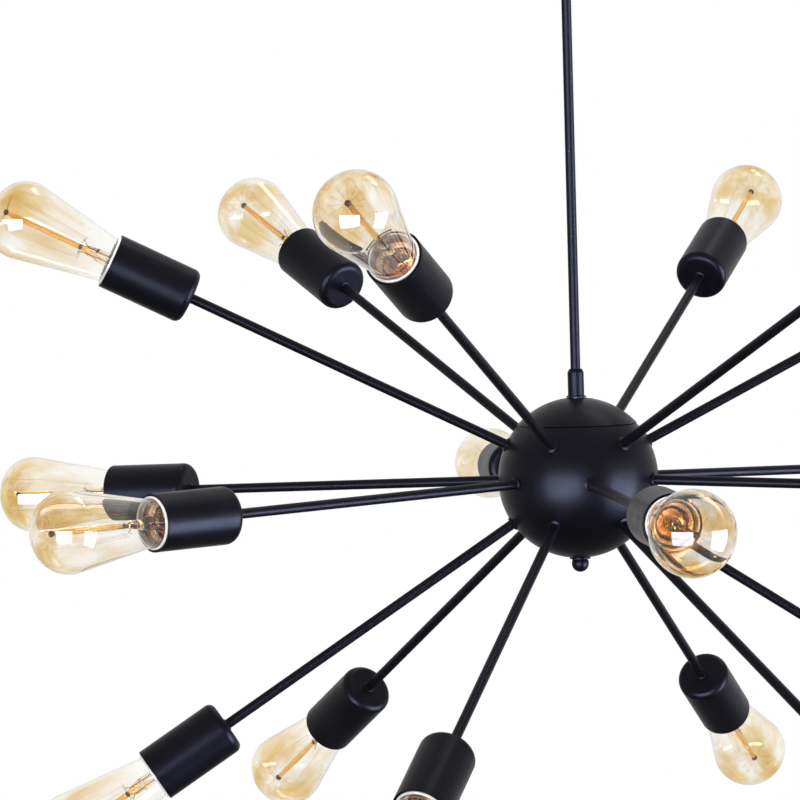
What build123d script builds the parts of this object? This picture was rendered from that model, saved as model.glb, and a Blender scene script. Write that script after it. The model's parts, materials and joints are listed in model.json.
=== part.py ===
"""Sputnik chandelier: a round hub with three rings of radial arms, each with a cup and a bulb.

Units are millimetres, +Z is up. The origin is the centre of the crossbar's top face, in the
plane of the ceiling. The hub hangs below it on two joined rods and a swivel.
Turned pieces of a lamp are drawn as (radius, distance from the hub's centre) in a plane that
holds the arm's axis, and turned about that axis.
"""
import math
import os
from dataclasses import dataclass

from build123d import *

# ---------------------------------------------------------------- driving dimensions
# Clearances
thread_gap = 0.05        # radial, between a threaded piece and its hole
hole_gap = 0.15          # radial, between a tube and a plain hole that it passes through
turn_gap = 0.06          # radial, running clearance of the swivel's round fits
face_gap = 0.2           # between flat faces that turn on each other
bulb_gap = 0.35          # between a bulb and its lampholder

# Canopy and crossbar
canopy_radius = 65.0
canopy_depth = 25.0
canopy_wall = 1.2
canopy_corner = 8.0
crossbar_length = 118.0
crossbar_width = 20.0
crossbar_thickness = 2.0
crossbar_corner = 3.0
box_slot_spacing = 79.4  # between the two slots, for ceiling boxes of 70 to 89 mm
box_slot_length = 14.0
box_slot_width = 4.8
crossbar_bore_radius = 5.2
stud_spacing = 104.0
stud_radius = 2.0
cap_nut_radius = 5.0
cap_nut_height = 9.0
cap_nut_grip = 4.0       # how far the stud goes into its cap nut

# Swivel
swivel_stud_radius = 5.0
swivel_stud_height = 12.0
wire_bore_radius = 3.0
yoke_radius = 13.0
yoke_height = 12.5
yoke_chamfer = 1.5
ear_thickness = 4.0
ear_radius = 8.5
pivot_drop = 12.0        # from the underside of the yoke's body to the pivot
knuckle_radius = 8.0
knuckle_width = 14.0
knuckle_neck_radius = 6.0
pivot_screw_radius = 2.5
pivot_screw_head_radius = 3.8
pivot_screw_head = 1.6
pivot_screw_bite = 3.0   # how far a pivot screw reaches into the knuckle
nut_height = 5.0
washer_height = 1.0

# Rods
rod_radius = 4.0
rod_wall = 1.2
rod_grip = 12.0          # how far a rod goes into the piece that holds it
upper_rod_length = 150.0
lower_rod_length = 350.0
sleeve_radius = 6.6      # collar, coupler and swivel sleeve
sleeve_chamfer = 1.4
sleeve_drop = 2.5        # from the swivel's ears down to the top of the knuckle's sleeve
sleeve_shank = 10.0      # solid part of the knuckle's sleeve, above the rod
collar_grip = 11.0       # height of the hub's collar below the rod
collar_shoulder = 1.0    # stop between the rod and the spindle
collar_foot_radius = 8.2
collar_foot_height = 1.6

# Hub
hub_radius = 65.0
hub_wall = 1.5
cap_overhang = 0.7       # the cap stands proud of the bowl
seam_height = 44.0       # from the hub's centre to the edge of its cap
lip_height = 4.0
spindle_radius = 5.0
spindle_bore_radius = 3.6
spindle_window_width = 5.0    # side window for the wires, inside the hub
spindle_window_length = 15.0
spindle_window_lift = 10.0    # from the hub's centre to the window's middle
hub_nut_flats = 15.0
finial_radius = 7.0
finial_drop = 3.5        # from the finial's flat top to the middle of its ball
finial_grip = 5.8        # how far the spindle goes into the finial
finial_washer_radius = 8.4

# Arms
arm_radius = 4.0
arm_wall = 1.2
arm_inner_reach = 12.0   # length of the arm's thread inside the hub
arm_shoulder_radius = 5.8
arm_shoulder_height = 1.8
arm_bead_radius = 5.2
arm_bead_height = 1.2
arm_nut_flats = 12.0
arm_nut_height = 4.0
upper_tilt = 26.5        # degrees above level
middle_tilt = -1.5
lower_tilt = -33.0
arms_per_ring = 6

# Lampholder cups
cup_distance = 348.0     # from the hub's centre to the cup's base
cup_radius = 22.5
cup_length = 71.0
cup_wall = 1.8
cup_corner = 6.0
cup_rim_round = 0.6

# Porcelain lampholders
holder_recess = 0.8      # below the cup's rim
holder_back_gap = 2.0    # between the nut and the lampholder
holder_arm_grip = 9.0
holder_mouth_radius = 18.5
holder_ledge_radius = 8.0
shell_thickness = 0.5
contact_plate_radius = 11.0
contact_plate = 1.0
contact_pin_radius = 3.0
contact_height = 3.0     # plate and pin together

# Bulbs
bulb_radius = 32.0
bulb_length = 140.0      # from the contact to the tip of the glass
bulb_reach = 105.0       # from the cup's rim to the tip
bulb_base_radius = 13.0
bulb_base_height = 26.0
bulb_base_wall = 0.4
bulb_contact_radius = 4.6
bulb_contact_height = 1.5
bulb_insulator_height = 3.5
bulb_glass_wall = 1.0
bulb_neck_radius = 17.4  # where the neck meets the straight flank
bulb_neck_height = 6.0   # above the base
bulb_knuckle_radius = 26.0
bulb_crown_height = 28.0  # from the widest point to the tip
bulb_stem_flare_radius = 10.5
bulb_stem_flare_height = 8.0
bulb_stem_tube_radius = 5.5
bulb_stem_press_height = 27.0  # from the stem's foot to the top of its press
bulb_stem_radius = 2.1
bulb_stem_height = 106.5
bulb_stem_button_radius = 3.4
bulb_stem_button = 3.0

# ---------------------------------------------------------------- heights worked out
canopy_floor = -canopy_depth
stud_length = canopy_depth + cap_nut_grip
yoke_top = canopy_floor - face_gap
yoke_underside = yoke_top - yoke_height
pivot_height = yoke_underside - pivot_drop
sleeve_top = pivot_height - ear_radius - sleeve_drop
sleeve_bottom = sleeve_top - sleeve_shank - rod_grip
upper_rod_top = sleeve_bottom + rod_grip
rod_joint = upper_rod_top - upper_rod_length
lower_rod_bottom = rod_joint - lower_rod_length
collar_top = lower_rod_bottom + rod_grip
collar_bottom = lower_rod_bottom - collar_grip
cap_radius = hub_radius + cap_overhang
hub_height = collar_bottom - cap_radius
hub_centre = Vector(0, 0, hub_height)


def seat(sphere, radius):
    """Distance from a sphere's centre to the flat that rests on it at a given radius."""
    return math.sqrt(sphere**2 - radius**2)


def corner(flats):
    """Corner radius of a hexagon with a given width over its flats."""
    return flats / math.sqrt(3)


arm_hole_radius = arm_radius + hole_gap
arm_shoulder_seat = seat(hub_radius, arm_hole_radius)
arm_nut_seat = seat(hub_radius - hub_wall, corner(arm_nut_flats))
arm_inner_end = hub_radius - hub_wall - arm_inner_reach
cup_floor = cup_distance + cup_wall
cup_rim = cup_distance + cup_length
holder_face = cup_rim - holder_recess
holder_back = cup_floor + arm_nut_height + holder_back_gap
arm_outer_end = holder_back + holder_arm_grip
bulb_tip = cup_rim + bulb_reach
bulb_foot = bulb_tip - bulb_length
bulb_base_top = bulb_foot + bulb_base_height
contact_top = bulb_foot - bulb_gap
contact_seat = contact_top - contact_height
shell_bore = bulb_base_radius + bulb_gap
shell_outer = shell_bore + shell_thickness
shell_mouth = bulb_base_top - bulb_gap


@dataclass
class Lamp:
    """One arm's direction from the hub, with a plane for turned profiles."""

    name: str
    azimuth: float
    tilt: float

    def direction(self):
        azimuth, tilt = math.radians(self.azimuth), math.radians(self.tilt)
        level = math.cos(tilt)
        return Vector(level * math.cos(azimuth), level * math.sin(azimuth), math.sin(tilt))

    def profile(self):
        """Plane with X across the arm and Y along it, from the hub's centre."""
        side = Vector(0, 0, 1).cross(self.direction()).normalized()
        return Plane(hub_centre, x_dir=side, z_dir=side.cross(self.direction()))

    def axis(self):
        return Axis(hub_centre, self.direction())

    def across(self, distance):
        """Plane square to the arm, at a distance from the hub's centre."""
        return Plane(hub_centre + self.direction() * distance, z_dir=self.direction())


def make_ring(name, tilt, first_azimuth):
    step = 360 / arms_per_ring
    return [Lamp(f"{name}_{i + 1}", first_azimuth + i * step, tilt) for i in range(arms_per_ring)]


upper_ring = make_ring("upper", upper_tilt, 0)
middle_ring = make_ring("middle", middle_tilt, 180 / arms_per_ring)
lower_ring = make_ring("lower", lower_tilt, 0)
rings = {"upper": upper_ring, "middle": middle_ring, "lower": lower_ring}
lamps = upper_ring + middle_ring + lower_ring

os.makedirs("parts", exist_ok=True)


def save(builder, name):
    builder.part.label = name
    export_step(builder.part, f"parts/{name}.step")


def turned(points):
    """Face from (radius, distance) points, in the sketch that is being made."""
    Polygon(*points, align=None)


# ---------------------------------------------------------------- ceiling side
def make_crossbar():
    """Flat bar that screws to the ceiling box, with a threaded hole at each end for a stud."""
    with BuildPart() as bar:
        with BuildSketch(Plane.XY.offset(-crossbar_thickness)) as outline:
            Rectangle(crossbar_length, crossbar_width)
            fillet(outline.vertices(), crossbar_corner)
            with Locations((-box_slot_spacing / 2, 0), (box_slot_spacing / 2, 0)):
                SlotOverall(box_slot_length, box_slot_width, mode=Mode.SUBTRACT)
            with Locations((-stud_spacing / 2, 0), (stud_spacing / 2, 0)):
                Circle(stud_radius + thread_gap, mode=Mode.SUBTRACT)
            Circle(crossbar_bore_radius, mode=Mode.SUBTRACT)
        extrude(amount=crossbar_thickness)
    save(bar, "ceiling_crossbar")


def make_canopy():
    """Round dish that hides the ceiling box, open at the top."""
    inside = canopy_radius - canopy_wall
    with BuildPart() as canopy:
        with BuildSketch(Plane.XZ) as outline:
            turned([
                (swivel_stud_radius + turn_gap, canopy_floor),
                (canopy_radius, canopy_floor),
                (canopy_radius, 0),
                (inside, 0),
                (inside, canopy_floor + canopy_wall),
                (swivel_stud_radius + turn_gap, canopy_floor + canopy_wall),
            ])
            outer = outline.vertices().sort_by(Axis.Y)[:2].sort_by(Axis.X)[-1]
            fillet(outer, canopy_corner)
            inner = outline.vertices().group_by(Axis.X)[-2]
            fillet(inner.sort_by(Axis.Y)[0], canopy_corner - canopy_wall)
        revolve(axis=Axis.Z)
        with Locations(Plane.XY.offset(canopy_floor)):
            with Locations((-stud_spacing / 2, 0), (stud_spacing / 2, 0)):
                Cylinder(stud_radius + hole_gap, 3 * canopy_wall, mode=Mode.SUBTRACT)
    save(canopy, "canopy")


def make_canopy_studs():
    """Two studs that hang from the crossbar and carry the canopy."""
    with BuildPart() as studs:
        with BuildSketch(Plane.XY.offset(-stud_length)):
            with Locations((-stud_spacing / 2, 0), (stud_spacing / 2, 0)):
                Circle(stud_radius)
        extrude(amount=stud_length)
    save(studs, "canopy_studs")


def make_cap_nuts():
    """Two domed nuts on the studs, under the canopy."""
    dome_foot = canopy_floor - cap_nut_height + cap_nut_radius
    with BuildPart() as nuts:
        for side in (-1, 1):
            stud_foot = (side * stud_spacing / 2, 0, 0)
            with BuildSketch(Plane(stud_foot, x_dir=(1, 0, 0), z_dir=(0, -1, 0))):
                with BuildLine():
                    Polyline(
                        (0, canopy_floor - cap_nut_height),
                        (0, canopy_floor),
                        (cap_nut_radius, canopy_floor),
                        (cap_nut_radius, dome_foot),
                    )
                    CenterArc((0, dome_foot), cap_nut_radius, 270, 90)
                make_face()
            revolve(axis=Axis(stud_foot, (0, 0, 1)))
            with BuildSketch(Plane.XY.offset(canopy_floor)):
                with Locations((side * stud_spacing / 2, 0)):
                    Circle(stud_radius + thread_gap)
            extrude(amount=-cap_nut_grip - hole_gap, mode=Mode.SUBTRACT)
    save(nuts, "canopy_cap_nuts")


# ---------------------------------------------------------------- swivel
ear_inside = knuckle_width / 2 + face_gap
ear_outside = ear_inside + ear_thickness


def make_yoke():
    """Forked upper half of the swivel, on a hollow stud that turns in the canopy."""
    with BuildPart() as yoke:
        with BuildSketch(Plane.XY.offset(yoke_underside)):
            Circle(yoke_radius)
        extrude(amount=yoke_height)
        chamfer(yoke.edges().filter_by(GeomType.CIRCLE), yoke_chamfer)
        with BuildSketch(Plane.XY.offset(yoke_top)):
            Circle(swivel_stud_radius)
        extrude(amount=swivel_stud_height)
        for side in (-1, 1):
            with BuildSketch(Plane.YZ.offset(side * ear_inside)):
                with Locations((0, pivot_height)):
                    Circle(ear_radius)
                with Locations((0, (pivot_height + yoke_underside) / 2)):
                    Rectangle(2 * ear_radius, pivot_drop)
                with Locations((0, pivot_height)):
                    Circle(pivot_screw_radius + thread_gap, mode=Mode.SUBTRACT)
            extrude(amount=side * ear_thickness)
        with BuildSketch(Plane.XY.offset(yoke_underside)):
            Circle(wire_bore_radius)
        extrude(amount=yoke_height + swivel_stud_height, mode=Mode.SUBTRACT)
    save(yoke, "swivel_yoke")


def make_swivel_nut():
    """Washer and nut that hold the yoke's stud in the canopy."""
    washer_foot = canopy_floor + canopy_wall + face_gap
    bore = swivel_stud_radius + thread_gap
    with BuildPart() as nut:
        with BuildSketch(Plane.XY.offset(washer_foot)):
            Circle(corner(hub_nut_flats) + washer_height)
            Circle(bore, mode=Mode.SUBTRACT)
        extrude(amount=washer_height)
        with BuildSketch(Plane.XY.offset(washer_foot + washer_height)):
            RegularPolygon(corner(hub_nut_flats), 6)
            Circle(bore, mode=Mode.SUBTRACT)
        extrude(amount=nut_height)
    save(nut, "swivel_nut")


def make_pivot_screws():
    """Two shoulder screws, one in each ear, that the knuckle tilts on."""
    reach = ear_outside - knuckle_width / 2 + pivot_screw_bite
    with BuildPart() as screws:
        for side in (-1, 1):
            with BuildSketch(Plane.YZ.offset(side * ear_outside)):
                with Locations((0, pivot_height)):
                    Circle(pivot_screw_radius)
            extrude(amount=-side * reach)
            with BuildSketch(Plane.YZ.offset(side * ear_outside)):
                with Locations((0, pivot_height)):
                    Circle(pivot_screw_head_radius)
            extrude(amount=side * pivot_screw_head)
            with BuildSketch(Plane.YZ.offset(side * (ear_outside + pivot_screw_head))):
                with Locations((0, pivot_height)):
                    Rectangle(2 * pivot_screw_head_radius, pivot_screw_head / 2)
            extrude(amount=-side * pivot_screw_head / 2, mode=Mode.SUBTRACT)
    save(screws, "swivel_pivot_screws")


def make_knuckle():
    """Lower half of the swivel: a drum between the ears, with a sleeve for the upper rod."""
    with BuildPart() as knuckle:
        with BuildSketch(Plane.YZ.offset(-knuckle_width / 2)):
            with Locations((0, pivot_height)):
                Circle(knuckle_radius)
        extrude(amount=knuckle_width)
        with BuildSketch(Plane.XY.offset(sleeve_top)):
            Circle(knuckle_neck_radius)
        extrude(amount=pivot_height - sleeve_top)
        with BuildSketch(Plane.XY.offset(sleeve_bottom)):
            Circle(sleeve_radius)
        extrude(amount=sleeve_top - sleeve_bottom)
        chamfer(knuckle.edges().group_by(Axis.Z)[0], sleeve_chamfer)
        with BuildSketch(Plane.XY.offset(sleeve_bottom)):
            Circle(wire_bore_radius)
        extrude(amount=pivot_height + 2 * knuckle_radius - sleeve_bottom, mode=Mode.SUBTRACT)
        with BuildSketch(Plane.XY.offset(sleeve_bottom)):
            Circle(rod_radius + thread_gap)
        extrude(amount=rod_grip, mode=Mode.SUBTRACT)
        for side in (-1, 1):
            with BuildSketch(Plane.YZ.offset(side * knuckle_width / 2)):
                with Locations((0, pivot_height)):
                    Circle(pivot_screw_radius + turn_gap)
            extrude(amount=-side * (pivot_screw_bite + face_gap), mode=Mode.SUBTRACT)
    save(knuckle, "swivel_knuckle")


# ---------------------------------------------------------------- rods
def make_rod(name, bottom, length):
    with BuildPart() as rod:
        with BuildSketch(Plane.XY.offset(bottom)):
            Circle(rod_radius)
            Circle(rod_radius - rod_wall, mode=Mode.SUBTRACT)
        extrude(amount=length)
    save(rod, name)


def make_coupler():
    """Sleeve that joins the two rods."""
    with BuildPart() as coupler:
        with BuildSketch(Plane.XY.offset(rod_joint - rod_grip)):
            Circle(sleeve_radius)
            Circle(rod_radius + thread_gap, mode=Mode.SUBTRACT)
        extrude(amount=2 * rod_grip)
        rims = coupler.edges().filter_by(GeomType.CIRCLE).group_by(SortBy.RADIUS)[-1]
        chamfer(rims, sleeve_chamfer)
    save(coupler, "rod_coupler")


def make_collar():
    """Collar on top of the hub: the rod screws in from above, the spindle from below."""
    with BuildPart() as collar:
        with BuildSketch(Plane.XZ):
            turned([
                (spindle_bore_radius, lower_rod_bottom),
                (rod_radius + thread_gap, lower_rod_bottom),
                (rod_radius + thread_gap, collar_top),
                (sleeve_radius - sleeve_chamfer, collar_top),
                (sleeve_radius, collar_top - 2 * sleeve_chamfer),
                (sleeve_radius, collar_bottom + collar_foot_height),
                (collar_foot_radius, collar_bottom + collar_foot_height / 2),
                (collar_foot_radius, collar_bottom),
                (spindle_radius + thread_gap, collar_bottom),
                (spindle_radius + thread_gap, lower_rod_bottom - collar_shoulder),
                (spindle_bore_radius, lower_rod_bottom - collar_shoulder),
            ])
        revolve(axis=Axis.Z)
    save(collar, "hub_collar")


# ---------------------------------------------------------------- hub
seam = hub_height + seam_height
lip_radius = cap_radius - hub_wall - hole_gap
finial_seat = hub_height - seat(hub_radius, spindle_radius + hole_gap)
finial_top = finial_seat - washer_height - face_gap
finial_centre = finial_top - finial_drop
spindle_bottom = finial_top - finial_grip


def lip_arc(sphere):
    """Arc of a sphere about the hub's centre, from just below the seam to the lip's top."""
    low, high = (math.asin((seam_height + step) / sphere) for step in (-lip_height, lip_height))
    points = [
        (sphere * math.cos(angle), hub_height + sphere * math.sin(angle))
        for angle in (low, (low + high) / 2, high)
    ]
    return ThreePointArc(*points)


def make_hub_bowl():
    """Spun lower shell, drilled for every arm, with a lip that the cap slips over."""
    with BuildPart() as bowl:
        with Locations(hub_centre):
            Sphere(hub_radius)
            Sphere(hub_radius - hub_wall, mode=Mode.SUBTRACT)
        split(bisect_by=Plane.XY.offset(seam), keep=Keep.BOTTOM)
        with BuildSketch(Plane.XZ):
            with BuildLine():
                outer = lip_arc(lip_radius)
                inner = lip_arc(lip_radius - hub_wall)
                Line(outer @ 0, inner @ 0)
                Line(outer @ 1, inner @ 1)
            make_face()
        revolve(axis=Axis.Z)
        with Locations((0, 0, hub_height - hub_radius)):
            Cylinder(spindle_radius + hole_gap, hub_radius, mode=Mode.SUBTRACT)
        for lamp in lamps:
            with BuildSketch(lamp.across(arm_inner_end)):
                Circle(arm_hole_radius)
            extrude(amount=hub_radius, mode=Mode.SUBTRACT)
    save(bowl, "hub_bowl")


def make_hub_cap():
    """Spun cap that closes the hub, a little proud of the bowl."""
    with BuildPart() as cap:
        with Locations(hub_centre):
            Sphere(cap_radius)
            Sphere(cap_radius - hub_wall, mode=Mode.SUBTRACT)
        split(bisect_by=Plane.XY.offset(seam), keep=Keep.TOP)
        with Locations((0, 0, hub_height + hub_radius)):
            Cylinder(spindle_radius + hole_gap, hub_radius, mode=Mode.SUBTRACT)
    save(cap, "hub_cap")


def make_spindle():
    """Threaded tube that clamps cap and bowl between the collar and the finial."""
    top = lower_rod_bottom - collar_shoulder - hole_gap
    with BuildPart() as spindle:
        with BuildSketch(Plane.XY.offset(spindle_bottom)):
            Circle(spindle_radius)
        extrude(amount=top - spindle_bottom)
        with BuildSketch(Plane.XY.offset(hub_height)):
            Circle(spindle_bore_radius)
        extrude(amount=top - hub_height, mode=Mode.SUBTRACT)
        with BuildSketch(Plane.XZ.offset(-spindle_radius)):
            with Locations((0, hub_height + spindle_window_lift)):
                SlotOverall(spindle_window_length, spindle_window_width, rotation=90)
        extrude(amount=2 * spindle_radius, mode=Mode.SUBTRACT)
    save(spindle, "hub_spindle")


def make_spindle_nuts():
    """Nuts inside the hub, one under the cap and one on the bowl's floor."""
    nut_corner = corner(hub_nut_flats)
    bore = spindle_radius + thread_gap
    upper_face = hub_height + seat(cap_radius - hub_wall, nut_corner)
    lower_face = hub_height - seat(hub_radius - hub_wall, nut_corner)
    with BuildPart() as nuts:
        for height in (upper_face - nut_height, lower_face):
            with BuildSketch(Plane.XY.offset(height)):
                RegularPolygon(nut_corner, 6)
                Circle(bore, mode=Mode.SUBTRACT)
            extrude(amount=nut_height)
    save(nuts, "spindle_nuts")


def make_finial():
    """Ball nut under the hub, with its washer as a second solid."""
    bore = spindle_radius + thread_gap
    flat_radius = seat(finial_radius, finial_centre - finial_top)
    with BuildPart() as finial:
        with BuildSketch(Plane.XZ):
            with BuildLine():
                Line((0, finial_centre - finial_radius), (0, finial_top))
                Line((0, finial_top), (flat_radius, finial_top))
                ThreePointArc(
                    (flat_radius, finial_top),
                    (finial_radius, finial_centre),
                    (0, finial_centre - finial_radius),
                )
            make_face()
        revolve(axis=Axis.Z)
        with BuildSketch(Plane.XY.offset(finial_top)):
            Circle(bore)
        extrude(amount=spindle_bottom - hole_gap - finial_top, mode=Mode.SUBTRACT)
        with BuildSketch(Plane.XY.offset(finial_top + face_gap)):
            Circle(finial_washer_radius)
            Circle(bore, mode=Mode.SUBTRACT)
        extrude(amount=washer_height)
    save(finial, "finial")


# ---------------------------------------------------------------- arms
def make_arms(name, ring):
    """Tubes threaded at both ends, with a shoulder against the hub and a bead under the cup."""
    with BuildPart() as arms:
        for lamp in ring:
            with BuildSketch(lamp.profile()):
                turned([
                    (arm_radius - arm_wall, arm_inner_end),
                    (arm_radius, arm_inner_end),
                    (arm_radius, arm_shoulder_seat),
                    (arm_shoulder_radius, arm_shoulder_seat),
                    (arm_shoulder_radius, arm_shoulder_seat + arm_shoulder_height / 2),
                    (arm_radius, arm_shoulder_seat + arm_shoulder_height),
                    (arm_radius, cup_distance - arm_bead_height),
                    (arm_bead_radius, cup_distance - arm_bead_height / 2),
                    (arm_bead_radius, cup_distance),
                    (arm_radius, cup_distance),
                    (arm_radius, arm_outer_end),
                    (arm_radius - arm_wall, arm_outer_end),
                ])
            revolve(axis=lamp.axis())
    save(arms, f"arms_{name}")


def make_arm_nuts():
    """Nuts on both threads of every arm: inside the hub, and inside the cup."""
    with BuildPart() as nuts:
        for lamp in lamps:
            for foot in (arm_nut_seat - arm_nut_height, cup_floor):
                with BuildSketch(lamp.across(foot)):
                    RegularPolygon(corner(arm_nut_flats), 6)
                    Circle(arm_radius + thread_gap, mode=Mode.SUBTRACT)
                extrude(amount=arm_nut_height)
    save(nuts, "arm_locknuts")


# ---------------------------------------------------------------- lampholders
def make_cup(lamp):
    """Straight cup with a rounded base and a thin round rim."""
    inside = cup_radius - cup_wall
    with BuildPart() as cup:
        with BuildSketch(lamp.profile()) as outline:
            turned([
                (arm_hole_radius, cup_distance),
                (cup_radius, cup_distance),
                (cup_radius, cup_rim),
                (inside, cup_rim),
                (inside, cup_floor),
                (arm_hole_radius, cup_floor),
            ])
            points = outline.vertices()
            fillet(points.group_by(Axis.Y)[0].sort_by(Axis.X)[-1], cup_corner)
            fillet(points.group_by(Axis.Y)[1].sort_by(Axis.X)[-1], cup_corner - cup_wall)
            fillet(points.group_by(Axis.Y)[2], cup_rim_round)
        revolve(axis=lamp.axis())
    save(cup, f"socket_cup_{lamp.name}")


holder_radius = cup_radius - cup_wall - hole_gap


def make_lampholders():
    """Porcelain bodies: a bore for the arm, a chamber for the wires and a seat for the shell."""
    back_round = cup_corner - cup_wall
    with BuildPart() as holders:
        for lamp in lamps:
            with BuildSketch(lamp.profile()):
                turned([
                    (arm_radius + thread_gap, holder_back),
                    (holder_radius - back_round, holder_back),
                    (holder_radius, holder_back + back_round),
                    (holder_radius, holder_face - cup_rim_round),
                    (holder_radius - cup_rim_round, holder_face),
                    (holder_mouth_radius, holder_face),
                    (holder_mouth_radius, shell_mouth),
                    (shell_outer + thread_gap, shell_mouth),
                    (shell_outer + thread_gap, contact_seat),
                    (holder_ledge_radius, contact_seat),
                    (holder_ledge_radius, arm_outer_end + hole_gap),
                    (arm_radius + thread_gap, arm_outer_end + hole_gap),
                ])
            revolve(axis=lamp.axis())
    save(holders, "lampholders")


def make_shells():
    """Metal screw shells that the bulbs go into."""
    foot = contact_seat + contact_plate + hole_gap
    with BuildPart() as shells:
        for lamp in lamps:
            with BuildSketch(lamp.profile()):
                turned([
                    (shell_bore, foot),
                    (shell_outer, foot),
                    (shell_outer, shell_mouth),
                    (shell_bore, shell_mouth),
                ])
            revolve(axis=lamp.axis())
    save(shells, "lampholder_shells")


def make_contacts():
    """Centre contacts under the bulbs."""
    with BuildPart() as contacts:
        for lamp in lamps:
            with BuildSketch(lamp.profile()):
                turned([
                    (0, contact_seat),
                    (contact_plate_radius, contact_seat),
                    (contact_plate_radius, contact_seat + contact_plate),
                    (contact_pin_radius, contact_seat + contact_plate),
                    (contact_pin_radius, contact_top),
                    (0, contact_top),
                ])
            revolve(axis=lamp.axis())
    save(contacts, "lampholder_contacts")


# ---------------------------------------------------------------- bulbs
def glass_line(wall):
    """Side of the glass from neck to tip, set in by a wall: neck, flank, knuckle and crown."""
    widest = bulb_tip - bulb_crown_height
    knuckle_centre = Vector(bulb_radius - bulb_knuckle_radius, widest)
    flank_foot = Vector(bulb_neck_radius, bulb_base_top + bulb_neck_height)
    reach = knuckle_centre - flank_foot
    half_angle = math.asin(bulb_knuckle_radius / reach.length)
    flank_angle = math.atan2(reach.Y, reach.X) - half_angle
    flank = Vector(math.cos(flank_angle), math.sin(flank_angle))
    outward = Vector(flank.Y, -flank.X)
    offset_radius = knuckle_centre.X
    crown_radius = (offset_radius**2 + bulb_crown_height**2 - bulb_knuckle_radius**2) / (
        2 * (bulb_crown_height - bulb_knuckle_radius)
    )
    crown_centre = Vector(0, bulb_tip - crown_radius)
    to_knuckle = (knuckle_centre - crown_centre).normalized()
    neck = Vector(bulb_base_radius + thread_gap - wall, bulb_base_top + thread_gap)
    foot = flank_foot - outward * wall
    flank_end = knuckle_centre + outward * (bulb_knuckle_radius - wall)
    knuckle_end = crown_centre + to_knuckle * (crown_radius - wall)
    TangentArc(foot, neck, tangent=-flank)
    Line(foot, flank_end)
    TangentArc(flank_end, knuckle_end, tangent=flank)
    ThreePointArc(
        knuckle_end,
        crown_centre + (to_knuckle + Vector(0, 1)).normalized() * (crown_radius - wall),
        Vector(0, bulb_tip - wall),
    )
    return neck


def make_bulb(lamp):
    """Bulb as separate solids: glass, stem, screw base, insulator and contact."""
    base_inside = bulb_base_radius - bulb_base_wall
    insulator_foot = bulb_foot + bulb_contact_height
    base_foot = insulator_foot + bulb_insulator_height
    neck_radius = base_inside - thread_gap
    neck_foot = base_foot + bulb_insulator_height
    stem_foot = bulb_base_top - bulb_insulator_height
    stem_top = stem_foot + bulb_stem_height
    press_top = stem_foot + bulb_stem_press_height
    with BuildPart() as bulb:
        with BuildSketch(lamp.profile()):
            with BuildLine():
                outer = glass_line(0)
                inner = glass_line(bulb_glass_wall)
                Line((0, bulb_tip), (0, bulb_tip - bulb_glass_wall))
                Polyline(
                    outer,
                    (neck_radius, bulb_base_top + thread_gap),
                    (neck_radius, neck_foot),
                    (neck_radius - bulb_glass_wall, neck_foot),
                    (neck_radius - bulb_glass_wall, bulb_base_top + thread_gap),
                    inner,
                )
            make_face()
        revolve(axis=lamp.axis())
        with BuildSketch(lamp.profile()):
            turned([
                (0, stem_foot),
                (bulb_stem_flare_radius, stem_foot),
                (bulb_stem_tube_radius, stem_foot + bulb_stem_flare_height),
                (bulb_stem_tube_radius, press_top - bulb_stem_tube_radius),
                (bulb_stem_radius, press_top),
                (bulb_stem_radius, stem_top - bulb_stem_button),
                (bulb_stem_button_radius, stem_top - bulb_stem_button),
                (bulb_stem_button_radius, stem_top),
                (0, stem_top),
            ])
        revolve(axis=lamp.axis())
        with BuildSketch(lamp.profile()):
            turned([
                (base_inside, base_foot),
                (bulb_base_radius, base_foot),
                (bulb_base_radius, bulb_base_top),
                (base_inside, bulb_base_top),
            ])
        revolve(axis=lamp.axis())
        with BuildSketch(lamp.profile()):
            turned([
                (0, insulator_foot + thread_gap),
                (bulb_contact_radius, insulator_foot + thread_gap),
                (base_inside - thread_gap, base_foot),
                (base_inside - thread_gap, base_foot + bulb_contact_height),
                (0, base_foot + bulb_contact_height),
            ])
        revolve(axis=lamp.axis())
        with BuildSketch(lamp.profile()):
            turned([
                (0, bulb_foot),
                (bulb_contact_radius - bulb_contact_height, bulb_foot),
                (bulb_contact_radius, bulb_foot + bulb_contact_height),
                (0, bulb_foot + bulb_contact_height),
            ])
        revolve(axis=lamp.axis())
    save(bulb, f"bulb_{lamp.name}")


make_crossbar()
make_canopy()
make_canopy_studs()
make_cap_nuts()
make_yoke()
make_swivel_nut()
make_pivot_screws()
make_knuckle()
make_rod("upper_rod", rod_joint, upper_rod_length)
make_coupler()
make_rod("lower_rod", lower_rod_bottom, lower_rod_length)
make_collar()
make_hub_bowl()
make_hub_cap()
make_spindle()
make_spindle_nuts()
make_finial()
for ring_name, ring in rings.items():
    make_arms(ring_name, ring)
make_arm_nuts()
make_lampholders()
make_shells()
make_contacts()
for lamp in lamps:
    make_cup(lamp)
    make_bulb(lamp)
print(f"hub centre {hub_height:.2f}, pivot {pivot_height:.2f}, bulb tip {bulb_tip:.2f} from the hub")
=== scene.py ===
# Sputnik chandelier: finishes, bulbs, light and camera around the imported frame.
#
# Metres, +Z up. The hub hangs on the Z axis. The pieces of a lamp are drawn on their own Z axis,
# with the hub's centre at zero, and placed along their arm.
import json
import math
import random

import bmesh
import bpy
from mathutils import Matrix, Vector


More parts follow.
